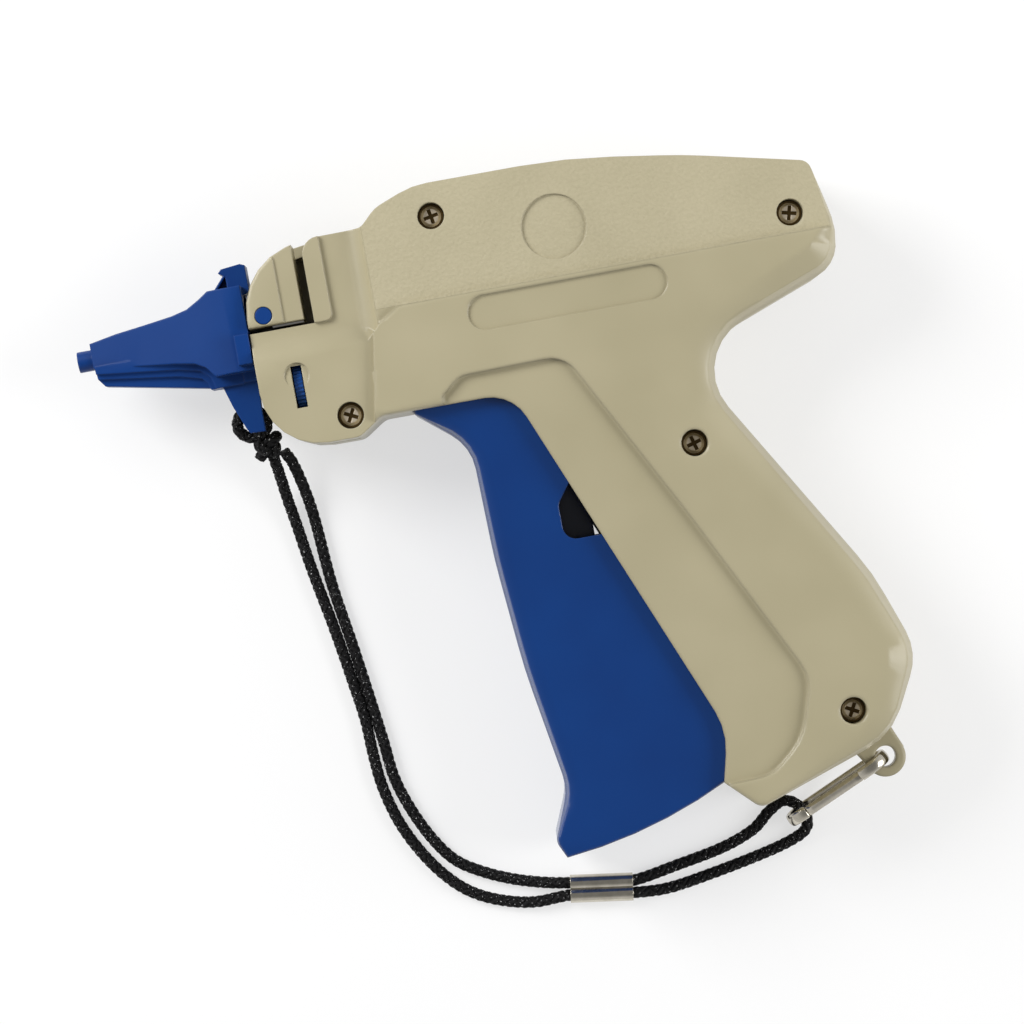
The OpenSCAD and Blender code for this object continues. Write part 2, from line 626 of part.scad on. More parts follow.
// Rocker: its front arm lies over the ratchet, its forked rear arm takes the trigger's pin
pawl_low = wheel_z + ratchet_d / 2 + 0.2;
pawl_high = half_t + plate_in - 0.2;
module feed_pawl() {
    reach = norm(horn - pawl_pivot);
    slope = atan2(horn[1] - pawl_pivot[1], horn[0] - pawl_pivot[0]);
    color([0.85, 0.84, 0.8]) difference() {
        union() {
            post(pawl_pivot, 2.6, pawl_low, pawl_high);
            bar(pawl_pivot, [wheel_x + wheel_w + 1.8, pawl_pivot[1]], 2.8, pawl_low, pawl_high);
            translate([pawl_pivot[0], pawl_pivot[1], 0]) rotate(slope)
                block([0, -2.3, pawl_low], [reach + 1.2, 2.3, pawl_high]);
        }
        post(pawl_pivot, 1 + running, 0, housing_t);
        translate([pawl_pivot[0], pawl_pivot[1], 0]) rotate(slope)
            block([reach - 1.4, -horn_pin_d / 2 - 0.25, 0], [reach + 5, horn_pin_d / 2 + 0.25, housing_t]);
        block([0, -30, 0], [wheel_x + wheel_w + 0.25, 0, housing_t]);
    }
}

module feed_pawl_pin() {
    color(nickel) post(pawl_pivot, 1, pawl_low - 0.6, half_t + plate_in + 0.9);
}

module wheel_detent() {
    top = wheel_z - ratchet_d / 2 - 0.15;
    color(nickel) block([9, wheel_y - 8.6, top - 0.35], [11, wheel_y + 0.4, top]);
}

module rod_guide() {
    color([0.8, 0.66, 0.35]) difference() {
        block([22.2, -3, half_t - 3], [31.8, 3, half_t + 3]);
        rod(20, 34, 0, half_t, rod_d / 2 + running);
    }
}

slide_front = slide_x - 11;
slide_back = slide_x + 4.5;
module push_rod() { color(nickel) rod(channel_x + channel_l + 0.4, slide_front + 3.6, 0, half_t, rod_d / 2); }

module plunger_slide() {
    color([0.9, 0.9, 0.86]) difference() {
        block([slide_front, -slide_w / 2, half_t - slide_t / 2], [slide_back, slide_w / 2, half_t + slide_t / 2]);
        rod(slide_front - past, slide_front + 3.8, 0, half_t, rod_d / 2 + 0.02);
        block([slide_x - 7, -9, half_t - lever_t / 2 - 0.2], [slide_back + past, 9, half_t + lever_t / 2 + 0.2]);
        post([slide_x, 0], slide_pin_d / 2 + 0.02, 0, housing_t);
    }
}

module slide_pin() {
    color(nickel) post([slide_x, 0], slide_pin_d / 2, half_t - slide_t / 2 + 0.1, half_t + slide_t / 2 - 0.1);
}

fork_play = 0.6;
// The upper arm bends round the saddle of the housing on its way to the fork
knee = [80.2, -16.5];
fork_root = lever_pivot + 32 * [sin(half_swing), cos(half_swing)];
arm_w = 5;
arm_step = 0.25;
function side(p, q) = let(d = unit(q - p)) [-d[1], d[0]];
arm_sides = [side(lever_pivot, knee), side(knee, fork_root)];
mitre = (arm_sides[0] + arm_sides[1]) / (1 + arm_sides[0] * arm_sides[1]);
arm_pts = [
    lever_pivot + arm_w / 2 * arm_sides[0], knee + arm_w / 2 * mitre, fork_root + arm_w / 2 * arm_sides[1],
    fork_root - arm_w / 2 * arm_sides[1], knee - arm_w / 2 * mitre, lever_pivot - arm_w / 2 * arm_sides[0]];
module drive_lever() {
    low = half_t - lever_t / 2;
    high = half_t + lever_t / 2;
    fork_w = slide_pin_d + 2 * fork_play;
    tip = lever_reach / cos(half_swing) + 1.5;
    color([0.86, 0.85, 0.82]) difference() {
        union() {
            post(lever_pivot, hub_r, half_t - hub_half, half_t + hub_half);
            bar(lever_pivot, foot, 2 * foot_r - 1.2, low, high);
            post(foot, foot_r, low, high);
            slab(arm_pts, low + arm_step, high - arm_step);
            translate([lever_pivot[0], lever_pivot[1], 0]) rotate(90 - half_swing)
                block([30.5, -fork_w / 2 - 1.9, low], [tip, fork_w / 2 + 1.9, high]);
        }
        post(lever_pivot, post_d / 2 + running, 0, housing_t);
        translate([lever_pivot[0], lever_pivot[1], 0]) rotate(90 - half_swing)
            block([lever_reach - slide_pin_d / 2 - 0.8, -fork_w / 2, 0], [tip + 9, fork_w / 2, housing_t]);
    }
}

// Tube of sides flat faces along a list of points
function ring_frame(pts, i) =
    let(n = len(pts), d = unit(pts[min(i + 1, n - 1)] - pts[max(i - 1, 0)]),
        up = abs(d[2]) > 0.9 ? [1, 0, 0] : [0, 0, 1], side = unit(cross(d, up)))
    [side, cross(side, d)];
module tube(pts, r, sides) {
    n = len(pts);
    rings = [for (i = [0:n - 1], k = [0:sides - 1])
        let(f = ring_frame(pts, i), a = 360 * (k + 0.5) / sides) pts[i] + r * (cos(a) * f[0] + sin(a) * f[1])];
    walls = [for (i = [0:n - 2], k = [0:sides - 1], half = [0, 1])
        let(a = i * sides + k, b = i * sides + (k + 1) % sides)
        half == 0 ? [a, b + sides, a + sides] : [a, b, b + sides]];
    ends = [[for (k = [sides - 1:-1:0]) k], [for (k = [0:sides - 1]) (n - 1) * sides + k]];
    polyhedron(rings, concat(walls, ends));
}

// Torsion spring round the far side of the lever's hub: it winds clockwise from the leg on the
// housing's rear rim to the leg that hooks the lever's upper arm
spring_turns = 3.25;
spring_start = -90;
spring_gap = 0.35;
spring_r = hub_r + spring_gap + spring_wire / 2;
rim_leg = 11.6;
arm_leg = 11;
module return_spring() {
    low = half_t - hub_half + 0.6;
    high = half_t - lever_t / 2 - 0.1 - spring_wire / 2;
    steps = 12 * spring_turns;
    coil = [for (i = [0:steps]) let(a = spring_start - 30 * i)
        [lever_pivot[0] + spring_r * cos(a), lever_pivot[1] + spring_r * sin(a), low + (high - low) * i / steps]];
    first = coil[0] + [rim_leg, 0, 0];
    last = coil[steps] + [0, arm_leg, 0];
    hook = [knee[0] - arm_w / 2 - spring_wire / 2 - 0.1, last[1] + 0.6, half_t];
    color(nickel) tube(concat([first], coil, [last, hook]), spring_wire / 2, 6);
}

// Two opposite cheeks, a front wall, a hub, a rib that pushes the lever, and a horn that works the feed
trigger_low = half_t - trigger_w / 2;
trigger_high = half_t + trigger_w / 2;
notch_low = -50.8;
notch_keys = [[52.8, -43.6, 2.2, 0], [52.8, notch_low, 2.6, 0], [80, notch_low, 0, 0], [80, -34, 0, 0], [60, -34, 0, 0]];
// The far cheek's notch is shorter, so that most of the near one shows a dark inside
far_notch_x = 59.1;
open_back = [[44, -24], [53, -27], [64, -45], [70, -62], [80, -96.5], [92, -90], [78, -40], [60, -15], [44, -15]];
hub_step = 0.2;
module trigger() {
    low = trigger_low + trigger_side;
    high = trigger_high - trigger_side;
    color(deep_blue) difference() {
        union() {
            difference() {
                prism(trigger_pts, trigger_low, trigger_high);
                translate([0, 0, low]) linear_extrude(high - low)
                    offset(delta = -trigger_front) polygon([for (p = trigger_pts) flat(p)]);
                slab(open_back, low, high);
                slab(rounded(notch_keys), half_t, housing_t);
                block([far_notch_x, notch_low, 0], [80, -34, half_t]);
                mould(trigger_pts, trigger_low, trigger_high, true);
            }
            post(trigger_pivot, trigger_hub_r, trigger_low + hub_step, trigger_high - hub_step);
            slab([[39.6, -50], pad_top, pad_end, [42.5, -78]], half_t - lever_t / 2, half_t + lever_t / 2);
            bar(trigger_pivot, horn, 3.6, half_t + 2, pawl_low - 0.15);
            post(horn, horn_pin_d / 2, half_t + 2, pawl_high);
        }
        post(trigger_pivot, trigger_pin_d / 2 + running, -past, housing_t + past);
    }
}

module trigger_pin() {
    reach = plate_in + 1.5;
    color(nickel) post(trigger_pivot, trigger_pin_d / 2, half_t - reach, half_t + reach);
}

// Cover: a flat-sided hollow body over the needle, with stepped ribs and a web below it, a finger hook above
// its rear edge and a tail under it
cone_y = 1.2;
cone_tip = 3 - cover_len;
web_pts = [[-31.3, 0], [-31.2, -3.4], [-30, -5], [-7.4, -9.5], [-3, -9.5], [-3, 0]];
hook_pts = [[-6.6, 8.6], [-3.5, 12.1], [-4.4, 12.7], [-3.7, 13.4], [0.1, 13.8], [1, 13.4], [1, 8.2], [-0.3, 7.6]];
hook_window = [[-3.1, 11.9], [-3.1, 9.7], [-5, 9.7]];
tail_pts = [[-7.6, -8], [-7.3, -9.6], [-6.1, -13.6], [-4.2, -18.3], [-3.7, -19.1], [-0.7, -19.2], [-0.7, -15],
    [-0.3, -8]];
cover_side = [[cone_tip, -1.3], [-21.8, -2.5], [-15.5, -3.3], [-11.7, -4], [-9.7, -5.1], [-8.1, -7.2], [-0.3, -7.2],
    [-0.3, 9.3], [-6.8, 9.3], [-8.8, 8], [-11.4, 6.6], [-14.5, 5.9], [-20.4, 5.2], [-26.2, 4.6], [cone_tip, 3.7]];
cover_plan = [[cone_tip, 2.7], [-4, drum_r], [-0.3, drum_r]];
// Two stepped ribs below the body: lower edge and half thickness of each
upper_rib = [[-31.3, -1], [-31.2, -2.5], [-15.5, -4.4], [-11.2, -5.4], [-9.3, -7], [-8.6, -9.4], [-3, -9.4], [-3, -1]];
lower_rib = [[-31.3, -1], [-31.1, -3.5], [-15.5, -5.7], [-11.2, -6.9], [-10.1, -8], [-9.7, -9.4], [-3, -9.4], [-3, -1]];
module cover_body() {
    intersection() {
        slab(cover_side, half_t - drum_r - past, half_t + drum_r + past);
        translate([0, 20, half_t]) rotate([90, 0, 0]) linear_extrude(40)
            polygon(concat(cover_plan, [for (i = [2:-1:0]) [cover_plan[i][0], -cover_plan[i][1]]]));
    }
}
module needle_cover() {
    color(blue) difference() {
        union() {
            rod(-cover_len, cone_tip + 0.3, 0.65, half_t, 2.05);
            cover_body();
            slab(upper_rib, half_t - 4.2, half_t + 4.2);
            slab(lower_rib, half_t - 3.3, half_t + 3.3);
            slab(web_pts, half_t - 2.4, half_t + 2.4);
            slab(hook_pts, half_t - 3, half_t + 3);
            slab(tail_pts, half_t + 1.4, half_t + 1.4 + tail_t);
            block([loop_x - 0.9, -17.2, half_t - 2.9], [loop_x + 0.9, -8, half_t + 2]);
            block([-6, -10.6, half_t - 2.4], [-1.2, -8, half_t + 2]);
            block([-3.1, -6.1, half_t + 5], [-0.3, -0.3, half_t + 10]);
            block([-3, -9.2, half_t - 4.5], [-0.3, -5, half_t + 4.5]);
        }
        rod(cone_tip + 1, -4.6, 0, half_t, needle_d / 2 + 0.4);
        translate([-24, 0.8, half_t]) rotate([0, 90, 0]) cylinder(r1 = 1.5, r2 = 5.3 - cover_wall, h = 13);
        rod(-11.02, -5.6, 0.8, half_t, 5.3 - cover_wall);
        rod(-4.8, 0, 0, half_t, collar_d / 2 + fit_gap);
        difference() {
            rod(-5.6, 0, cone_y, half_t, drum_r - cover_wall);
            rod(-5.7, 0, 0, half_t, collar_d / 2 + cover_wall);
        }
        slab(hook_window, half_t + 0.5, housing_t);
        rod(loop_x - 2, loop_x + 2, hole_y, half_t, cord_d / 2 + 0.35);
    }
}

// Knot: a loop through the rib's hole, gathered below the tail, with a short cut end
module cord_knot() {
    r = cord_d / 2;
    color(dark) {
        translate([loop_x, hole_y, half_t]) rotate([loop_tilt, 0, 0]) translate([0, -loop_r, 0])
            rotate_extrude() translate([loop_r, 0]) circle(r = r, $fn = 24);
        translate(knot_at) sphere(r = knot_r);
        d = stub_end - knot_at;
        translate(knot_at) rotate([0, acos(d[2] / norm(d)), atan2(d[1], d[0])]) cylinder(r = r, h = norm(d));
    }
}

// Halfway points on a smooth curve through the route
function smooth(p) = let(n = len(p)) [for (i = [0:n - 2]) each
    (norm(p[i + 1] - p[i]) < 6.6 ? [p[i]] :
        [p[i], (p[i] + p[i + 1]) * 0.5625 - (p[max(i - 1, 0)] + p[min(i + 2, n - 1)]) * 0.0625]), p[n - 1]];
module wrist_cord() { color(dark) tube(smooth(cord_route), cord_d / 2, 8); }

module cord_ferrule() {
    r = cord_d / 2 + fit_gap;
    color(nickel) translate([ferrule_from[0], ferrule_from[1], 0]) rotate(ferrule_turn) difference() {
        for (side = [-1, 1]) rod(0, ferrule_len, side * strand_apart / 2, ferrule_z, r + ferrule_wall);
        for (side = [-1, 1]) rod(-past, ferrule_len + past, side * strand_apart / 2, ferrule_z, r);
        block([-past, -strand_apart / 2, ferrule_z - r * 0.6], [ferrule_len + past, strand_apart / 2, ferrule_z + r * 0.6]);
    }
}

// The clip's own frame: X along the clip from the lug, Z across its loop
module clip_frame() {
    translate([lug_at[0], lug_at[1], lug_z + lug_t / 2]) rotate([0, clip_tilt, clip_turn])
        translate([bend_r - clip_t / 2, 0, 0]) children();
}
module loop_shape(r) {
    for (x = [0, clip_len]) translate([x, clip_w / 2 + past, 0]) rotate([90, 0, 0]) cylinder(r = r, h = clip_w + 2 * past);
    block([0, -clip_w / 2 - past, -r], [clip_len, clip_w / 2 + past, r]);
}
gate_from = 2;
gate_to = 14;
gate_root = gate_to + 0.4;
module strap_clip() {
    color(nickel) clip_frame() difference() {
        intersection() {
            loop_shape(bend_r);
            block([-30, -clip_w / 2, -30], [50, clip_w / 2, 30]);
        }
        loop_shape(bend_r - clip_t);
        block([gate_from - 0.3, -9, 0], [gate_to + 1.5, 9, 9]);
    }
}
module clip_gate() {
    color(nickel) clip_frame() {
        block([gate_from, -0.9, bend_r - clip_t + 0.1], [gate_to, 0.9, bend_r - 0.1]);
        translate([gate_root, 0.9, bend_r - clip_t / 2]) rotate([90, 0, 0]) cylinder(r = clip_t / 2, h = 1.8);
    }
}

placed() left_shell();
placed() right_shell();
placed() nose_block();
placed() shell_screws();
placed() needle();
placed() needle_base();
placed() needle_lock();
placed() cutter_blade();
placed() feed_wheel();
placed() feed_wheel_shaft();
placed() feed_pawl();
placed() feed_pawl_pin();
placed() wheel_detent();
placed() rod_guide();
placed() push_rod();
placed() plunger_slide();
placed() slide_pin();
placed() drive_lever();
placed() return_spring();
placed() trigger();
placed() trigger_pin();
placed() needle_cover();
placed() cord_knot();
placed() wrist_cord();
placed() cord_ferrule();
placed() strap_clip();
placed() clip_gate();
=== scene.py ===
# %% [markdown]
# # Dressing a tag-attaching gun
# The gun lies on its side on a pale table. A beige housing in two halves holds a glossy blue
# trigger, a blue cover hides the needle, and a black wrist cord runs from the cover to a small
# snap clip on the grip. The solids come from CAD, already in place, so this lesson adds what a
# solid lacks: moulded plastic with its grain, braid, polished metal, light and a camera.

# %% Load the solids
import math

import bmesh
import bpy
import numpy as np
from mathutils import Matrix, Vector


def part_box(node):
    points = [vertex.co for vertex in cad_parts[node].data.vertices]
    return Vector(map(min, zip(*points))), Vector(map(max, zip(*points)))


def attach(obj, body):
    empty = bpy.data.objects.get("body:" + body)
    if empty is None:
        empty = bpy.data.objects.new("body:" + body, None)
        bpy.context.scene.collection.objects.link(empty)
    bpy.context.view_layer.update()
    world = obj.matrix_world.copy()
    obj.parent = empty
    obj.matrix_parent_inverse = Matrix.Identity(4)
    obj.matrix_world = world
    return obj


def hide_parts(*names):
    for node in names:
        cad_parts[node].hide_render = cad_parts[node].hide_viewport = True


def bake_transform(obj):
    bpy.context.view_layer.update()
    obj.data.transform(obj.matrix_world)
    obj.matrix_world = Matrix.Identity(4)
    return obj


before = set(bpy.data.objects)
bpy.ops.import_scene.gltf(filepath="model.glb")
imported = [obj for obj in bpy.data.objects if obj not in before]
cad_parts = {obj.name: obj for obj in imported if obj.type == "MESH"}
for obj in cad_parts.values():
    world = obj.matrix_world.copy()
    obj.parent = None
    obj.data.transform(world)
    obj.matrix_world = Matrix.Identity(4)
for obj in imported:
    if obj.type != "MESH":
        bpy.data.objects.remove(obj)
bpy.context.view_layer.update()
print("nodes:", len(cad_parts))

# %% [markdown]
# ## One set of drawing coordinates
# On the drawing, x starts at the muzzle, y at the barrel's axis and z on the table, all in
# millimetres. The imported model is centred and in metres. Two small functions turn drawing points
# into model points, so every number below can be read off the drawing.

# %% Drawing coordinates
MM = 0.001
CENTRE = (40.2854, -44.675)


def at(x, y, z):
    """The model's point for one drawing point."""
    return Vector(((x - CENTRE[0]) * MM, (y - CENTRE[1]) * MM, z * MM))


def in_model(points):
    """The same for an array of drawing points."""
    return (points - (CENTRE[0], CENTRE[1], 0)) * MM


print("muzzle, on the table:", [round(c, 4) for c in at(0, 0, 0)])

# %% [markdown]
# ## Camera
# The photograph looks straight down on the table from about 0.65 m, with the gun turned ten
# degrees. A long lens from there keeps the sides of the housing nearly hidden, as they are in
# the photograph. The camera stands over the middle of the picture and is rolled by that angle.

# %% Camera
CAMERA_HEIGHT = 650
PICTURE_MIDDLE = (43.72, -43.47)
ROLL = math.radians(10.4)


def placed(name, data):
    """A new object in the scene that shows the given mesh, lamp or camera data."""
    thing = bpy.data.objects.new(name, data)
    bpy.context.scene.collection.objects.link(thing)
    return thing


camera_data = bpy.data.cameras.new("overhead")
camera_data.sensor_fit = "HORIZONTAL"
camera_data.sensor_width = 36
camera_data.lens = 114.1
camera_data.clip_start = 0.01
camera = placed("overhead", camera_data)
camera.location = at(*PICTURE_MIDDLE, CAMERA_HEIGHT)
camera.rotation_euler = (0, 0, -ROLL)
bpy.context.scene.camera = camera
bpy.context.scene.view_settings.view_transform = "Standard"
print("lens", camera_data.lens, "mm at", CAMERA_HEIGHT, "mm")

# %% [markdown]
# ## Shader maths in plain expressions
# A node tree for a bumpy plastic soon has dozens of Math nodes. Wrapping each socket in a small
# class lets the script write `grain * mask + 0.4` and adds the nodes itself. One more method
# makes any other kind of node from its settings and its inputs.

# %% Expressions for node trees
class Wire:
    """A socket's output that takes part in sums, products and comparisons."""

    def __init__(self, tree, socket):
        self.tree = tree
        self.socket = socket

    def _math(self, operation, other):
        node = self.tree.nodes.new("ShaderNodeMath")
        node.operation = operation
        for socket, value in zip(node.inputs, (self, other)):
            plug(self.tree, socket, value)
        return Wire(self.tree, node.outputs[0])

    def __add__(self, other):
        return self._math("ADD", other)

    def __mul__(self, other):
        return self._math("MULTIPLY", other)

    def __gt__(self, other):
        return self._math("GREATER_THAN", other)

    def __lt__(self, other):
        return self._math("LESS_THAN", other)

    def high(self, other):
        return self._math("MAXIMUM", other)

    def size(self):
        return self._math("ABSOLUTE", 0)

    __radd__ = __add__
    __rmul__ = __mul__


def plug(tree, socket, value):
    if isinstance(value, Wire):
        tree.links.new(value.socket, socket)
    elif value is not None:
        socket.default_value = value


class Finish:
    """A new material, with a Principled shader called self.shader."""

    def __init__(self, name):
        self.material = bpy.data.materials.new(name)
        self.material.use_nodes = True
        self.tree = self.material.node_tree
        self.shader = self.tree.nodes["Principled BSDF"]

    def node(self, kind, settings=None, output=0, **sockets):
        node = self.tree.nodes.new("ShaderNode" + kind)
        for name, value in (settings or {}).items():
            setattr(node, name, value)
        for name, value in sockets.items():
            plug(self.tree, node.inputs[name.replace("_", " ")], value)
        return Wire(self.tree, node.outputs[output])

    def place(self):
        """Object coordinates in millimetres."""
        spot = self.node("TexCoord", output="Object")
        return self.node("VectorMath", {"operation": "SCALE"}, Vector=spot, Scale=1 / MM)

    def split(self, vector):
        """The x, y and z of a vector, as three wires."""
        parts = self.tree.nodes.new("ShaderNodeSeparateXYZ")
        plug(self.tree, parts.inputs[0], vector)
        return [Wire(self.tree, out) for out in parts.outputs]

    def noise(self, where, scale, detail=2.0, rough=0.5):
        return self.node("TexNoise", Vector=where, Scale=scale, Detail=detail, Roughness=rough)

    def mix(self, factor, first, second):
        """A blend of two colours, which are a Mix node's sockets 6 and 7, with output 2."""
        node = self.tree.nodes.new("ShaderNodeMix")
        node.data_type = "RGBA"
        for key, value in (("Factor", factor), (6, first), (7, second)):
            plug(self.tree, node.inputs[key], value)
        return Wire(self.tree, node.outputs[2])

    def set(self, **sockets):
        for name, value in sockets.items():
            plug(self.tree, self.shader.inputs[name.replace("_", " ")], value)
        return self.material

    def bump(self, height, depth, soft=None):
        """Bump of that depth in millimetres; soft rounds sharp edges by that radius in millimetres."""
        round_edge = None if soft is None else self.node("Bevel", {"samples": 8}, Radius=soft * MM)
        return self.node("Bump", Height=height, Distance=depth * MM, Strength=1.0, Normal=round_edge)


def linear(red, green, blue):
    """An 8-bit screen colour as the shader wants it."""
    return tuple(((c / 255 + 0.055) / 1.055) ** 2.4 for c in (red, green, blue)) + (1.0,)


print("expression class ready")

# %% [markdown]
# ## Beige housing
# The real housing is moulded ABS. Its main panel has a fine spark-eroded grain, and the nose and
# the grip's hollow are smoother. Because the material knows where a point lies on the drawing,
# one material can grain the panel and leave the nose satin. The edges are rounded by the Bevel
# node, which bends the light at an edge as a small radius would, most of all along the ridge
# below the panel and on the grip.

# %% Housing plastic
PANEL_LEFT, PANEL_FLOOR = 25.0, 24.0
RIDGE_Y, RIDGE_REACH = -0.4, 2.6
GRIP_LEFT, GRIP_TOP = 22.0, -12.0


def housing_finish():
    f = Finish("beige_housing")
    where = f.place()
    x, y, z = f.split(where)
    right_of_nose = PANEL_LEFT - CENTRE[0]
    panel = (x > right_of_nose) * (y > RIDGE_Y - CENTRE[1]) * (z > PANEL_FLOOR)
    grain = f.noise(where, 1.5, 3.0, 0.55)
    fine = f.noise(where, 0.6, 2.0, 0.5)
    cloud = f.noise(where, 0.045, 2.0, 0.5)
    height = grain * (panel * 0.9 + 0.06) + fine * 0.06
    shade = cloud * 0.6 + grain * panel * 0.5
    tone = f.mix(shade, linear(156, 148, 119), linear(186, 177, 148))
    ridge = ((y + (CENTRE[1] - RIDGE_Y)).size() < RIDGE_REACH) * (x > right_of_nose)
    grip = (y < GRIP_TOP - CENTRE[1]) * (x > GRIP_LEFT - CENTRE[0])
    soft = ridge.high(grip) * 0.75 + 0.35
    return f.set(Base_Color=tone, Roughness=panel * 0.2 + cloud * 0.1 + 0.28,
                 Normal=f.bump(height, 0.16, soft=soft), IOR=1.5)


housing_plastic = housing_finish()
print("made", housing_plastic.name)

# %% [markdown]
# ## Blue mouldings
# The trigger is polished and shows soft reflections, the cover is satin. Both are coloured right
# through, so the colour hardly changes. What sells them is the slow waviness of a moulded
# surface and a few hairline scuffs, paler and rougher than the rest. A scuff is a thin stretch
# of noise, made long by a Mapping node.

# %% Blue plastics
def blue_finish(name, dark, light, roughness, scuff, shine):
    f = Finish(name)
    where = f.place()
    cloud = f.noise(where, 0.06, 2.0, 0.5)
    speck = f.noise(where, 2.6, 3.0, 0.6)
    stretch = f.node("Mapping", Vector=where, Scale=(0.35, 3.2, 3.2), Rotation=(0, 0, 0.6))
    hairs = f.noise(stretch, 2.2, 2.0, 0.7)
    worn = (hairs > 0.68) * scuff
    tone = f.mix(cloud * 0.8 + worn * 0.4, linear(*dark), linear(*light))
    height = cloud * 1.2 + speck * 0.12
    return f.set(Base_Color=tone, Roughness=worn * 0.25 + speck * 0.08 + roughness,
                 Normal=f.bump(height, 0.05, soft=0.4), Specular_IOR_Level=shine)


trigger_plastic = blue_finish("trigger_blue", (0, 46, 106), (4, 58, 124), 0.14, 0.3, 0.5)
cover_plastic = blue_finish("cover_blue", (0, 48, 112), (4, 60, 128), 0.36, 0.5, 0.25)
wheel_plastic = blue_finish("wheel_blue", (0, 62, 136), (10, 78, 156), 0.3, 0.3, 0.4)
print("made", trigger_plastic.name, cover_plastic.name, wheel_plastic.name)

# %% [markdown]
# ## Metals and acetal
# The needle and pins are ground steel with faint drawing lines, the screws are bronzed, with painted
# shade: the flange deep in each recess is coloured far darker than the head. The clip and the ferrule
# are nickel-plated and polished. All are fully metallic; only colour, roughness and the depth of
# the fine lines differ. The inner mouldings are white acetal, which lets a little light in.

# %% Metals and acetal
def metal_finish(name, dark, light, roughness, lines):
    f = Finish(name)
    where = f.place()
    stretch = f.node("Mapping", Vector=where, Scale=(0.25, 5.0, 5.0))
    drawn = f.noise(stretch, 2.0, 2.0, 0.6)
    cloud = f.noise(where, 0.5, 3.0, 0.6)
    tone = f.mix(cloud, linear(*dark), linear(*light))
    return f.set(Base_Color=tone, Metallic=1.0, Roughness=cloud * 0.12 + drawn * lines + roughness,
                 Normal=f.bump(drawn * lines * 2 + cloud * 0.2, 0.02, soft=0.15))


ground_steel = metal_finish("ground_steel", (170, 170, 172), (205, 205, 205), 0.16, 0.2)
dull_steel = metal_finish("dull_steel", (88, 88, 90), (122, 120, 116), 0.3, 0.3)
bronze_screw = metal_finish("bronzed_screw", (196, 182, 160), (236, 224, 204), 0.34, 0.2)
# Painted shade: this dark bronze colours the screw flange as the shade deep in its recess.
screw_shadow = metal_finish("screw_flange_painted_shade", (66, 52, 30), (98, 80, 50), 0.42, 0.1)
nickel = metal_finish("polished_nickel", (176, 170, 156), (222, 216, 202), 0.1, 0.06)


def acetal_finish():
    f = Finish("white_acetal")
    cloud = f.noise(f.place(), 0.3, 2.0, 0.5)
    tone = f.mix(cloud, linear(214, 211, 200), linear(236, 234, 226))
    return f.set(Base_Color=tone, Roughness=cloud * 0.15 + 0.32, Subsurface_Weight=0.1,
                 Normal=f.bump(cloud, 0.05, soft=0.25))


acetal = acetal_finish()
for made in (ground_steel, dull_steel, bronze_screw, screw_shadow, nickel, acetal):
    print("made", made.name)

# %% [markdown]
# ## Dressing the solids
# Most solids have the right shape and only need a finish. The curved ones come from CAD as loose
# triangles, which would shade as facets. Those are copied, their doubled points are merged, edges
# sharper than a set angle are kept, and weighted normals let the big flats stay flat. The normals
# that came with the CAD mesh are dropped, because they hold the facets.

# %% Smooth copies and plain dressing
SHARP_ANGLE = math.radians(38)


def tidy_copy(node, name, material, body):
    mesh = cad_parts[node].data.copy()
    mesh.name = name
    mesh.materials.clear()
    mesh.materials.append(material)
    bm = bmesh.new()
    bm.from_mesh(mesh)
    for layer in list(bm.loops.layers.float_vector):
        bm.loops.layers.float_vector.remove(layer)
    bmesh.ops.remove_doubles(bm, verts=bm.verts, dist=1e-6)
    for face in bm.faces:
        face.smooth = True
    for edge in bm.edges:
        edge.smooth = len(edge.link_faces) == 2 and edge.calc_face_angle(0) < SHARP_ANGLE
    bm.to_mesh(mesh)
    bm.free()
    if mesh.has_custom_normals:
        mesh.attributes.remove(mesh.attributes["custom_normal"])
    piece = placed(name, mesh)
    weight = piece.modifiers.new("even", "WEIGHTED_NORMAL")
    weight.keep_sharp = True
    weight.weight = 90
    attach(piece, body)
    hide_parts(node)
    print(name, "-", len(mesh.polygons), "triangles")


def dress(node, material):
    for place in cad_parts[node].material_slots:
        place.material = material
    print(node, "wears", material.name)


tidy_copy("left_shell", "near_housing", housing_plastic, "housing")
tidy_copy("right_shell", "far_housing", housing_plastic, "housing")
tidy_copy("nose_block", "front_block", housing_plastic, "housing")
tidy_copy("trigger", "squeeze_trigger", trigger_plastic, "trigger")
tidy_copy("needle_cover", "needle_shroud", cover_plastic, "cover")

for steel_node in ("needle", "feed_wheel_shaft", "feed_pawl_pin", "wheel_detent", "push_rod",
                   "slide_pin", "return_spring", "trigger_pin", "cutter_blade"):
    dress(steel_node, ground_steel)
for white_node in ("plunger_slide", "drive_lever", "feed_pawl", "rod_guide"):
    dress(white_node, acetal)
dress("needle_base", dull_steel)
dress("needle_lock", cover_plastic)
dress("feed_wheel", wheel_plastic)
dress("cord_ferrule", nickel)

# %% [markdown]
# ## Snap clip
# The clip is rolled from a strip with round edges, bent to a long loop that is open on one side,
# where its sprung gate lies. A section is swept along the loop's path: an ellipse for the strip,
# and a stepped one for the gate, whose low edge gives the dark line beside its bright back. The
# path is drawn in the clip's own frame, with x along the clip and z across its loop.

# %% Clip from swept sections
CLIP_LENGTH, CLIP_RADIUS = 16.7, 3.5
GATE_START, GATE_END, GATE_LAP = 2.0, 14.0, 0.9
HINGE_LAP, NOSE_GAP = 1.5, 0.3
STRIP_HALF_WIDE, STRIP_HALF_THICK = 1.27, 0.5
DOME_HEIGHT, DOME_SCALE = 0.28, 0.75
CLIP_ROOT = np.array((107.2, -103.9, 11.25))
CLIP_HEADING, CLIP_TILT = math.radians(206.5), math.radians(20.7)
clip_turn = np.array(Matrix.Rotation(CLIP_HEADING, 3, "Z") @ Matrix.Rotation(CLIP_TILT, 3, "Y"))
clip_place = CLIP_ROOT + clip_turn @ (CLIP_RADIUS, 0, 0)


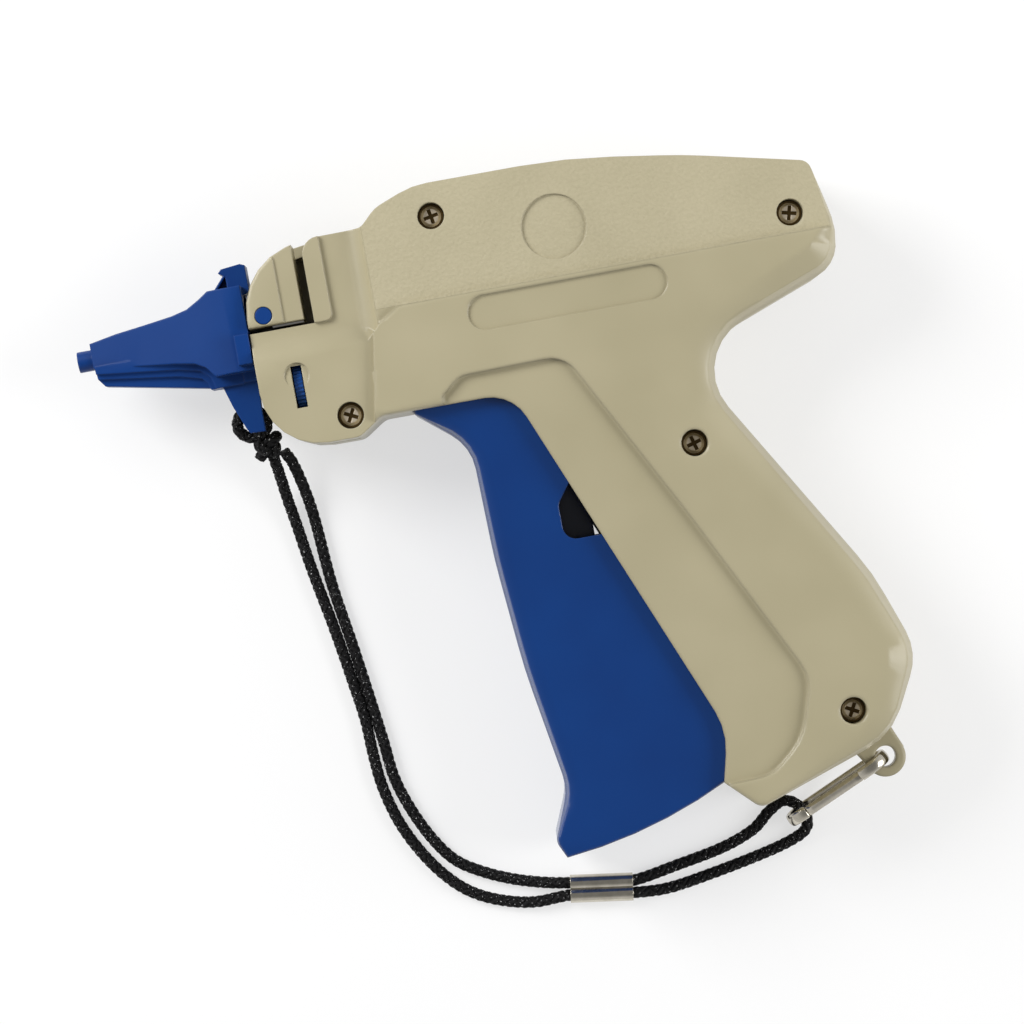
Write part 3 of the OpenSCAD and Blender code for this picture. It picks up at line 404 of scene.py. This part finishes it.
def loop_path():
    """From behind the gate's root round the far end, back along the spine and round the lug's end."""
    half_turn = np.linspace(0, math.pi, 15)
    far = [(CLIP_LENGTH + CLIP_RADIUS * math.sin(a), CLIP_RADIUS * math.cos(a)) for a in half_turn]
    near = [(-CLIP_RADIUS * math.sin(a), -CLIP_RADIUS * math.cos(a)) for a in half_turn]
    root = [(GATE_END + HINGE_LAP, CLIP_RADIUS)]
    nose = [(GATE_START - NOSE_GAP, CLIP_RADIUS)]
    return np.array(root + far + near + nose)


def swept(name, path, section, body):
    """Sweep section points (across, out) along an (x, z) path; both ends are drawn in to a dome."""
    run = np.gradient(path, axis=0)
    run /= np.linalg.norm(run, axis=1)[:, None]
    out = np.stack([-run[:, 1], run[:, 0]], 1)
    stations = [(path[0] - run[0] * DOME_HEIGHT, out[0], DOME_SCALE)]
    stations += [(spot, normal, 1) for spot, normal in zip(path, out)]
    stations += [(path[-1] + run[-1] * DOME_HEIGHT, out[-1], DOME_SCALE)]
    bm = bmesh.new()
    rings = []
    for spot, normal, grow in stations:
        ring = []
        for across, height in section:
            x, z = spot + normal * height * grow
            place = clip_place + clip_turn @ (x, across * grow, z)
            ring.append(bm.verts.new(at(*place)))
        rings.append(ring)
    count = len(section)
    for first, second in zip(rings, rings[1:]):
        for k in range(count):
            bm.faces.new((first[k], first[(k + 1) % count], second[(k + 1) % count], second[k]))
    bm.faces.new(rings[0])
    bm.faces.new(rings[-1])
    bmesh.ops.recalc_face_normals(bm, faces=bm.faces)
    for face in bm.faces:
        face.smooth = len(face.verts) == 4
    mesh = bpy.data.meshes.new(name)
    bm.to_mesh(mesh)
    bm.free()
    mesh.materials.append(nickel)
    piece = placed(name, mesh)
    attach(piece, body)
    print(name, "-", len(mesh.polygons), "faces")
    return piece


around = np.linspace(0, 2 * math.pi, 16, endpoint=False)
strip = [(STRIP_HALF_WIDE * math.cos(a), STRIP_HALF_THICK * math.sin(a)) for a in around]
clip = swept("snap_clip", loop_path(), strip, "housing")
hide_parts("strap_clip")
gate_section = [(-1.0, -0.36), (1.0, -0.34), (1.15, -0.1), (1.05, 0.14), (0.6, 0.33),
                (0.1, 0.4), (-0.3, 0.34), (-0.42, 0.22), (-0.46, -0.12), (-1.0, -0.14)]
gate_run = np.array([(x, CLIP_RADIUS) for x in np.linspace(GATE_END + GATE_LAP, GATE_START, 12)])
gate = swept("snap_gate", gate_run, gate_section, "gate")
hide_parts("clip_gate")

# %% [markdown]
# ## Screws by Geometry Nodes
# Five identical screws hold the halves together. A head is modelled once, inside a node tree: a
# flange that sits deep in its recess and is painted dark as the shade there, a paler crown with a
# sloped rim that catches the light, and a cross that cuts through the crown down to that painted
# shade. The two bars of the cross are cut one after the other, because one cut with bars that cross
# each other can fail. The tree sets the head on the points it is given, each turned another way by
# a seeded random value.

# %% Screw tree
ROUND_CORNERS = 40
TURN_SEED = 4
HEAD_SIZES = {"Flange radius": 2.42, "Flange height": 1.0, "Crown radius": 1.98, "Flat radius": 1.45,
              "Crown height": 0.42, "Crown lift": 0.5, "Cross length": 2.9, "Cross width": 0.72,
              "Cross depth": 4.0}


def screw_tree():
    tree = bpy.data.node_groups.new("screw_heads", "GeometryNodeTree")
    tree.interface.new_socket("Geometry", in_out="INPUT", socket_type="NodeSocketGeometry")
    tree.interface.new_socket("Geometry", in_out="OUTPUT", socket_type="NodeSocketGeometry")
    for name, size in HEAD_SIZES.items():
        socket = tree.interface.new_socket(name, in_out="INPUT", socket_type="NodeSocketFloat")
        socket.default_value = size * MM
    new = tree.nodes.new
    link = tree.links.new
    given = new("NodeGroupInput")

    def painted(shape, material):
        paint = new("GeometryNodeSetMaterial")
        paint.inputs["Material"].default_value = material
        link(shape, paint.inputs["Geometry"])
        return paint.outputs["Geometry"]

    def vector(**sizes):
        joined = new("ShaderNodeCombineXYZ")
        for axis, output in sizes.items():
            link(output, joined.inputs[axis])
        return joined.outputs[0]

    flange = new("GeometryNodeMeshCylinder")
    flange.inputs["Vertices"].default_value = ROUND_CORNERS
    link(given.outputs["Flange radius"], flange.inputs["Radius"])
    link(given.outputs["Flange height"], flange.inputs["Depth"])
    crown = new("GeometryNodeMeshCone")
    crown.inputs["Vertices"].default_value = ROUND_CORNERS
    link(given.outputs["Crown radius"], crown.inputs["Radius Bottom"])
    link(given.outputs["Flat radius"], crown.inputs["Radius Top"])
    link(given.outputs["Crown height"], crown.inputs["Depth"])
    lifted = new("GeometryNodeTransform")
    link(vector(Z=given.outputs["Crown lift"]), lifted.inputs["Translation"])
    link(crown.outputs["Mesh"], lifted.inputs["Geometry"])
    crossed = lifted.outputs["Geometry"]
    bar_size = vector(X=given.outputs["Cross length"], Y=given.outputs["Cross width"],
                      Z=given.outputs["Cross depth"])
    for turn in (0, math.pi / 2):
        bar = new("GeometryNodeMeshCube")
        link(bar_size, bar.inputs["Size"])
        turned = new("GeometryNodeTransform")
        turned.inputs["Rotation"].default_value = (0, 0, turn)
        link(bar.outputs["Mesh"], turned.inputs["Geometry"])
        cut = new("GeometryNodeMeshBoolean")
        cut.operation = "DIFFERENCE"
        cut.solver = "EXACT"
        link(crossed, cut.inputs["Mesh 1"])
        link(turned.outputs["Geometry"], cut.inputs["Mesh 2"])
        crossed = cut.outputs["Mesh"]
    head = new("GeometryNodeJoinGeometry")
    # The flange wears the painted shade of the recess; the crown wears the bronze.
    link(painted(flange.outputs["Mesh"], screw_shadow), head.inputs[0])
    link(painted(crossed, bronze_screw), head.inputs[0])
    spin = new("FunctionNodeRandomValue")
    spin.data_type = "FLOAT"
    spin.inputs["Max"].default_value = math.pi / 2
    spin.inputs["Seed"].default_value = TURN_SEED
    stand = new("GeometryNodeInstanceOnPoints")
    link(given.outputs["Geometry"], stand.inputs["Points"])
    link(head.outputs["Geometry"], stand.inputs["Instance"])
    link(vector(Z=spin.outputs[1]), stand.inputs["Rotation"])
    real = new("GeometryNodeRealizeInstances")
    link(stand.outputs["Instances"], real.inputs["Geometry"])
    done = new("NodeGroupOutput")
    link(real.outputs["Geometry"], done.inputs["Geometry"])
    return tree


head_tree = screw_tree()
print("screw tree with", len(head_tree.nodes), "nodes and", len(HEAD_SIZES), "sizes")

# %% [markdown]
# ## Five screw heads
# The heads stand where the drawing has the screws, a little below the top of the CAD screws. The
# tree works on a mesh of five bare points. What it makes is kept as one plain mesh, because the
# export drops instances, and the points are thrown away.

# %% Five screw heads
SCREWS = [(16.5, -19.5), (38.6, 15.5), (106.8, 3.7), (80.7, -36.7), (101.5, -92.9)]
FLANGE_DROP = 0.9


def grown(name, points, tree):
    """The plain mesh that a node tree grows on a list of points."""
    seed = bpy.data.meshes.new(name + "_points")
    seed.from_pydata([tuple(p) for p in points], [], [])
    holder = placed(name + "_points", seed)
    modifier = holder.modifiers.new("grow", "NODES")
    modifier.node_group = tree
    made = bpy.data.meshes.new_from_object(holder.evaluated_get(bpy.context.evaluated_depsgraph_get()))
    made.name = name
    bpy.data.objects.remove(holder)
    return placed(name, made)


screw_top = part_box("shell_screws")[1].z / MM
screw_heads = grown("screw_heads", [at(x, y, screw_top - FLANGE_DROP) for x, y in SCREWS], head_tree)
print("five heads,", len(screw_heads.data.polygons), "faces, top at", round(screw_top, 2), "mm")
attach(screw_heads, "housing")
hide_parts("shell_screws")

# %% [markdown]
# ## Wrist cord
# The cord is a limp, hollow braid 2.3 mm thick. It leaves the knot under the cover, lies on the
# table along a wide curve, passes through the crimped ferrule and through the snap clip, and comes
# back beside itself to the same knot. Its route is a list of drawing points, joined by a smooth
# curve. Along it run ten yarns, five each way round, that pass over and under each other.

# %% Route of the cord
CORD_D = 2.3
CORD_STEP = 0.45
CUTS_PER_SPAN = 24
ROUTE = [
    (-0.7, -24.4, 7.4), (-0.3, -28, 5.2), (0.2, -33, 2.8), (1, -38.5, 1.5), (2.4, -48, 1.2),
    (4.6, -60, 1.2), (6.3, -71, 1.2), (7.4, -79, 1.2), (7.7, -86, 1.2), (8.4, -93, 1.2),
    (10.4, -100.4, 1.2), (13.6, -107, 1.2), (17.4, -112.4, 1.2), (21.8, -116.5, 1.2),
    (27.4, -119.3, 1.2), (34, -120.9, 1.4), (41.4, -120.8, 1.75), (47.6, -121.7, 1.75),
    (53.8, -122.6, 1.75), (61, -123, 1.2), (70, -121.7, 1.2), (79, -120, 1.2),
    (85.6, -118.4, 1.3), (89.6, -116.6, 2), (90.6, -114.4, 2.5), (89.8, -112.7, 2.55),
    (88.9, -110.9, 2.5), (86.4, -109.9, 2.1), (83.2, -111.7, 1.5), (79.6, -114.6, 1.2),
    (73, -117, 1.2), (63.5, -118.8, 1.2), (54.2, -120.2, 1.75), (48, -119.3, 1.75),
    (41.8, -118.4, 1.75), (36.6, -117.4, 1.4), (30.6, -115.6, 1.2), (24.8, -113, 1.2),
    (20, -109.8, 1.2), (16.4, -105, 1.2), (13.2, -98.4, 1.2), (11, -91.4, 1.2), (10.2, -84, 1.2),
    (9.2, -76, 1.2), (7.6, -64, 1.2), (5.7, -51, 1.2), (4.8, -39, 1.4), (4.2, -33.5, 2.6),
    (3.4, -29, 4.4), (2.6, -25.8, 6), (1.6, -23.6, 7.4)]


def distances(line):
    """How far along a line each of its points lies."""
    return np.concatenate([[0], np.cumsum(np.linalg.norm(np.diff(line, axis=0), axis=1))])


def smooth_line(points, step):
    """Catmull-Rom curve through the points, cut into even steps; all in millimetres."""
    p = np.array(points, float)
    p = np.vstack([2 * p[0] - p[1], p, 2 * p[-1] - p[-2]])
    fine = []
    for i in range(1, len(p) - 2):
        for t in np.linspace(0, 1, CUTS_PER_SPAN, endpoint=False):
            fine.append(0.5 * (2 * p[i] + (p[i + 1] - p[i - 1]) * t
                               + (2 * p[i - 1] - 5 * p[i] + 4 * p[i + 1] - p[i + 2]) * t ** 2
                               + (3 * p[i] - p[i - 1] - 3 * p[i + 1] + p[i + 2]) * t ** 3))
    fine.append(p[-2])
    fine = np.array(fine)
    along = distances(fine)
    even = np.linspace(0, along[-1], int(round(along[-1] / step)) + 1)
    return np.stack([np.interp(even, along, fine[:, k]) for k in range(3)], 1), along[-1]


cord_line, cord_length = smooth_line(ROUTE, CORD_STEP)
print("cord:", round(cord_length, 1), "mm along", len(cord_line), "points")

# %% [markdown]
# ## Braid
# Each yarn is a flat ribbon that winds round the core. Its distance from the middle rises and
# falls with its angle, out of step with the yarns that it crosses, and that makes the weave. The
# frame that carries the angles is passed along the line without twist, so the braid never shears.

# %% Braid maker
YARNS_EACH_WAY = 5
YARN_WIDE, YARN_THICK = 1.12, 0.34
YARN_DEPTH, WEAVE_DEPTH = 0.24, 0.13
YARN_SECTION = [(-0.5, -0.5), (-0.32, 0.5), (0.32, 0.5), (0.5, -0.5)]
CORE_RADIUS, CORE_CORNERS = 0.86, 10
CORD_PITCH = 7.5


def frames_along(line):
    """A side direction and an up direction at each point, carried along without twist."""
    tangents = np.gradient(line, axis=0)
    tangents /= np.linalg.norm(tangents, axis=1)[:, None]
    side = np.cross(tangents[0], (0, 0, 1))
    if np.linalg.norm(side) < 0.1:
        side = np.cross(tangents[0], (1, 0, 0))
    sides = []
    for tangent in tangents:
        side = side - tangent * (side @ tangent)
        side /= np.linalg.norm(side)
        sides.append(side.copy())
    sides = np.array(sides)
    return sides, np.cross(tangents, sides)


def tube_faces(stations, corners, base=0):
    """Faces of a closed tube whose points run ring by ring, the first numbered base."""
    faces = []
    for i in range(stations - 1):
        for j in range(corners):
            a = base + i * corners + j
            b = base + i * corners + (j + 1) % corners
            faces.append((a, b, b + corners, a + corners))
    last = base + (stations - 1) * corners
    faces.append(tuple(base + j for j in reversed(range(corners))))
    faces.append(tuple(last + j for j in range(corners)))
    return faces


def ribbon(line, sides, ups, angles, radii):
    """Corner points of a yarn that lies on the cord at the given angles and radii."""
    out = []
    for shift, lift in YARN_SECTION:
        a = angles + shift * YARN_WIDE / (CORD_D / 2)
        r = radii + lift * YARN_THICK
        out.append(line + sides * (r * np.cos(a))[:, None] + ups * (r * np.sin(a))[:, None])
    return np.stack(out, 1).reshape(-1, 3)


def braid_parts(line, pitch):
    """Points and faces of all yarns on a line, each yarn once round in a pitch."""
    sides, ups = frames_along(line)
    steps = distances(line)
    points, faces = [], []
    for hand, offset in ((1, 0), (-1, math.pi)):
        for k in range(YARNS_EACH_WAY):
            turn = 2 * math.pi * (hand * steps / pitch + k / YARNS_EACH_WAY)
            weave = np.cos(YARNS_EACH_WAY * turn / 2 + offset + math.pi * k)
            radii = CORD_D / 2 - YARN_DEPTH + WEAVE_DEPTH * weave
            faces += tube_faces(len(line), len(YARN_SECTION), sum(len(p) for p in points))
            points.append(ribbon(line, sides, ups, turn, radii))
    return np.vstack(points), faces


def core_parts(line):
    """Points and faces of the core that fills the braid."""
    sides, ups = frames_along(line)
    angles = np.linspace(0, 2 * math.pi, CORE_CORNERS, endpoint=False)
    rings = [line + sides * CORE_RADIUS * math.cos(a) + ups * CORE_RADIUS * math.sin(a) for a in angles]
    return np.stack(rings, 1).reshape(-1, 3), tube_faces(len(line), CORE_CORNERS)


def mesh_piece(name, parts, material):
    """One smooth object from lists of points in drawing millimetres and their faces."""
    mesh = bpy.data.meshes.new(name)
    points, faces, base = [], [], 0
    for p, fs in parts:
        points.append(p)
        faces += [tuple(base + i for i in face) for face in fs]
        base += len(p)
    points = in_model(np.vstack(points))
    mesh.from_pydata(points.tolist(), [], faces)
    mesh.materials.append(material)
    bm = bmesh.new()
    bm.from_mesh(mesh)
    bmesh.ops.recalc_face_normals(bm, faces=bm.faces)
    for face in bm.faces:
        face.smooth = True
    bm.to_mesh(mesh)
    bm.free()
    sides = (points.max(0) - points.min(0)) / MM
    print(name, "-", len(mesh.polygons), "faces,", " x ".join(f"{side:.1f}" for side in sides), "mm")
    return placed(name, mesh)


def cord_finish():
    """Black fibre with tiny white flecks painted in as glints."""
    f = Finish("black_braid")
    where = f.place()
    fibre = f.noise(where, 6.0, 3.0, 0.7)
    glint_noise = f.noise(where, 2.8, 1.0, 0.4)
    painted_glint = (glint_noise > 0.7) * (fibre > 0.5)
    dark = f.mix(fibre, linear(3, 3, 4), linear(16, 15, 16))
    # Painted highlight: the white spots are glints painted into the braid's colour.
    tone = f.mix(painted_glint, dark, linear(205, 205, 205))
    return f.set(Base_Color=tone, Roughness=fibre * 0.25 + 0.5, Specular_IOR_Level=0.25,
                 Normal=f.bump(fibre, 0.12))


braid_black = cord_finish()
cord_parts = [braid_parts(cord_line, CORD_PITCH), core_parts(cord_line)]
wrist_cord = mesh_piece("wrist_braid", cord_parts, braid_black)

# %% [markdown]
# ## Knot and loop
# Both ends of the cord are tied together under the cover's tail. A loop of the same braid goes
# through the tail's hole, the knot is a lump of the cord wound over itself, and one short end
# sticks out. A knot is hard to simulate and easy to draw: a trefoil curve of the right size reads
# as one.

# %% Knot
KNOT = np.array((-1.1, -21.6, 9.4))
KNOT_SIZE = (0.72, 0.7, 1.05)
KNOT_PITCH = 7.0
STUB = np.array((-3.5, -24.2, 8.6))
LOOP_X, HOLE_Y, LOOP_Z, LOOP_R = -3.4, -14.6, 13.0, 2.9
LOOP_TILT = math.radians(25)


def loop_line():
    turn = np.linspace(0, 2 * math.pi, 61)
    drop = LOOP_R * np.sin(turn) - LOOP_R
    return np.stack([LOOP_X + LOOP_R * np.cos(turn), HOLE_Y + drop * math.cos(LOOP_TILT),
                     LOOP_Z + drop * math.sin(LOOP_TILT)], 1)


def trefoil_line():
    t = np.linspace(0, 2 * math.pi, 121)
    x = np.sin(t) + 2 * np.sin(2 * t)
    y = np.cos(t) - 2 * np.cos(2 * t)
    z = -np.sin(3 * t)
    tilt = Matrix.Rotation(math.radians(35), 3, "X") @ Matrix.Rotation(math.radians(20), 3, "Y")
    return (np.stack([x, y, z], 1) * KNOT_SIZE) @ np.array(tilt).T + KNOT


def stub_line():
    way = np.linspace(0, 1, 12)[:, None]
    return KNOT + (STUB - KNOT) * way


knot_parts = []
for knot_line in (loop_line(), trefoil_line(), stub_line()):
    knot_parts.append(braid_parts(knot_line, KNOT_PITCH))
    knot_parts.append(core_parts(knot_line))
knot = mesh_piece("cord_lump", knot_parts, braid_black)
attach(knot, "cover")
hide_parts("cord_knot")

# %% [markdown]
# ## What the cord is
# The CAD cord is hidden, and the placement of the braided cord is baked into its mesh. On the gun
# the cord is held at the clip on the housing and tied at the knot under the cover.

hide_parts("wrist_cord")
at(8, -95, 1)
at(1, -26, 7)
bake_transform(wrist_cord)
print("declared", round(cord_length), "mm of cord")

# %% [markdown]
# ## Table
# The photograph was taken on a white table. Here it is a large pale sheet. A table lit to pure
# white would need so much light that the gun washes out, so the sheet glows a little instead, but
# only to the camera, in reflections and through glass. The rest is plain paper, which keeps the
# shadow.

# %% Table
TABLE_REACH = 1.5
TABLE_GLOW = 0.6


def table_finish():
    f = Finish("white_table")
    cloud = f.noise(f.place(), 0.02, 2.0, 0.5)
    f.set(Base_Color=f.mix(cloud, linear(240, 240, 240), linear(244, 244, 244)), Roughness=0.85)
    seen = f.node("LightPath", output="Is Camera Ray")
    mirrored = f.node("LightPath", output="Is Glossy Ray")
    through = f.node("LightPath", output="Is Transmission Ray")
    both = f.tree.nodes.new("ShaderNodeMixShader")
    plug(f.tree, both.inputs[0], seen.high(mirrored).high(through) * TABLE_GLOW)
    plug(f.tree, both.inputs[1], Wire(f.tree, f.shader.outputs[0]))
    plug(f.tree, both.inputs[2], f.node("Emission"))
    f.tree.links.new(both.outputs[0], f.tree.nodes["Material Output"].inputs["Surface"])
    return f.material


table_mesh = bpy.data.meshes.new("table")
corners = [(x * TABLE_REACH, y * TABLE_REACH, 0) for x, y in ((-1, -1), (1, -1), (1, 1), (-1, 1))]
table_mesh.from_pydata(corners, [], [(0, 1, 2, 3)])
table_mesh.materials.append(table_finish())
table = placed("table", table_mesh)
print("table", 2 * TABLE_REACH, "m wide")

# %% [markdown]
# ## Lamps and sky
# The light of the photograph is soft and comes from above, brighter from the left. Two large
# square lamps stand for windows, and an even sky fills the shadows. The sky is dimmer straight
# above, where the camera stands, so that the polished trigger mirrors it and keeps its deep blue.

# %% Lamps and sky
SKY_SIDES, SKY_ABOVE = 0.66, 0.24
DIMS_FROM, DIMS_TO = 0.45, 0.95


def soft_lamp(name, place, size, watts):
    """A square lamp that faces the middle of the model."""
    data = bpy.data.lights.new(name, "AREA")
    data.shape = "SQUARE"
    data.size = size
    data.energy = watts
    lamp = placed(name, data)
    lamp.location = place
    lamp.rotation_euler = Vector(place).to_track_quat("Z", "Y").to_euler()
    print(name, watts, "W")


def sky_world():
    world = bpy.data.worlds.new("soft_sky")
    world.use_nodes = True
    tree = world.node_tree
    background = tree.nodes["Background"]
    background.inputs["Color"].default_value = (1, 1, 1, 1)
    spot = tree.nodes.new("ShaderNodeTexCoord")
    parts = tree.nodes.new("ShaderNodeSeparateXYZ")
    band = tree.nodes.new("ShaderNodeMapRange")
    band.interpolation_type = "SMOOTHSTEP"
    band.inputs["From Min"].default_value = DIMS_FROM
    band.inputs["From Max"].default_value = DIMS_TO
    band.inputs["To Min"].default_value = SKY_SIDES
    band.inputs["To Max"].default_value = SKY_ABOVE
    tree.links.new(spot.outputs["Generated"], parts.inputs[0])
    tree.links.new(parts.outputs["Z"], band.inputs["Value"])
    tree.links.new(band.outputs[0], background.inputs["Strength"])
    return world


soft_lamp("window_left", (-0.6, 0.5, 0.55), 0.45, 8.0)
soft_lamp("window_right", (0.8, -0.1, 0.45), 0.5, 5.0)
bpy.context.scene.world = sky_world()
print("sky:", SKY_SIDES, "at the sides,", SKY_ABOVE, "straight above")
